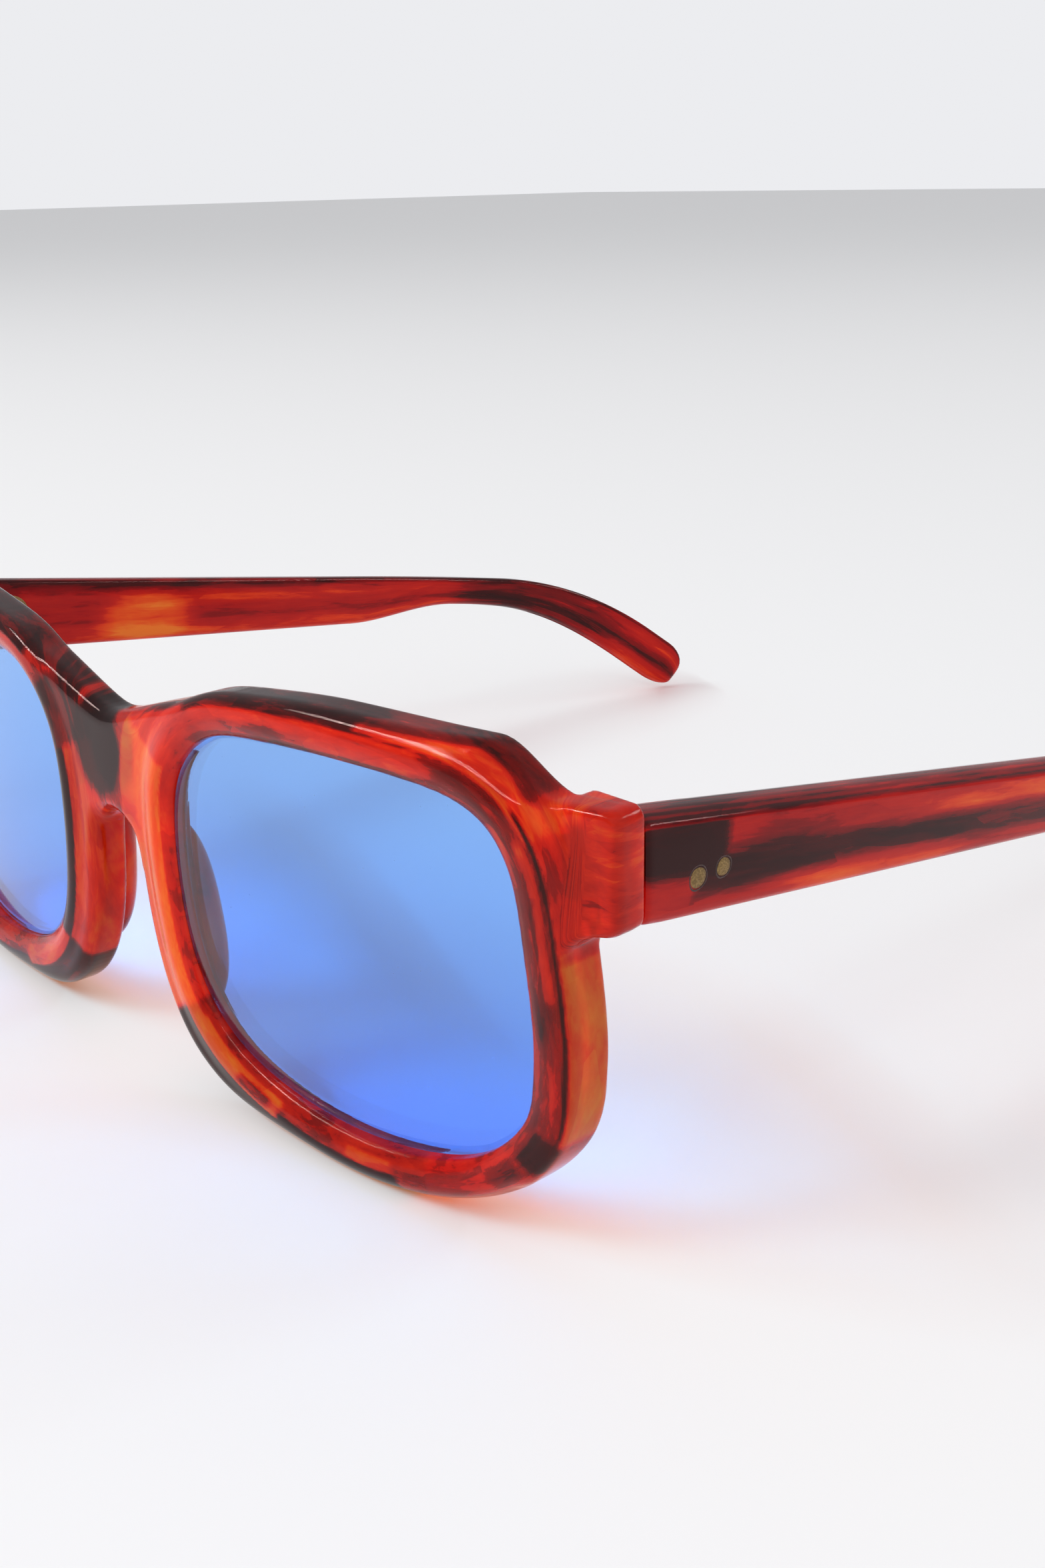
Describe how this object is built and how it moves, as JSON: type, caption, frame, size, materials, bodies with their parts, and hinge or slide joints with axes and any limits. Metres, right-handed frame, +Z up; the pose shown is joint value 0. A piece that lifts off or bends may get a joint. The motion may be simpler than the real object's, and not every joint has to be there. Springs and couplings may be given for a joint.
{
  "type": "safety glasses",
  "caption": "Thick acetate spectacle frame with curved blue-tinted lenses, built-up nose pads and riveted temples that slope down, bend over the ear and fold on barrel hinges.",
  "frame": {"origin": "centre of the standing glasses, on the table they rest on", "axes": "+X to the wearer's left, the front faces -Y and the temples run back along +Y, +Z up"},
  "size_m": [0.1356, 0.149, 0.0475],
  "materials": {
    "acetate": "polished translucent acetate, red-amber tortoiseshell with dark brown patches",
    "tinted_lens": "clear polished lens tinted cobalt blue all through",
    "hinge_brass": "dull aged brass with darkened corners",
    "screw_steel": "slotted screw, worn and slightly dark",
    "rivet_brass": "aged brass ground flush with the temple"
  },
  "bodies": {
    "front": {"front_frame": "acetate", "lens_left": "tinted_lens", "lens_right": "tinted_lens", "nose_pad_left": "acetate", "nose_pad_right": "acetate", "front_hinge_left": "hinge_brass", "front_hinge_right": "hinge_brass", "hinge_screw_left": "screw_steel", "hinge_screw_right": "screw_steel"},
    "left_temple": {"temple_left": "acetate", "temple_hinge_left": "hinge_brass", "front_rivet_left": "rivet_brass", "rear_rivet_left": "rivet_brass"},
    "right_temple": {"temple_right": "acetate", "temple_hinge_right": "hinge_brass", "front_rivet_right": "rivet_brass", "rear_rivet_right": "rivet_brass"}
  },
  "joints": [
    {"name": "left_temple_hinge", "type": "hinge", "parent": "front", "child": "left_temple", "pos_m": [0.0597, -0.05955, 0.0371], "axis": [0, 0, 1], "range_deg": [0, 88]},
    {"name": "right_temple_hinge", "type": "hinge", "parent": "front", "child": "right_temple", "pos_m": [-0.0597, -0.05955, 0.0371], "axis": [0, 0, -1], "range_deg": [0, 75]}
  ]
}
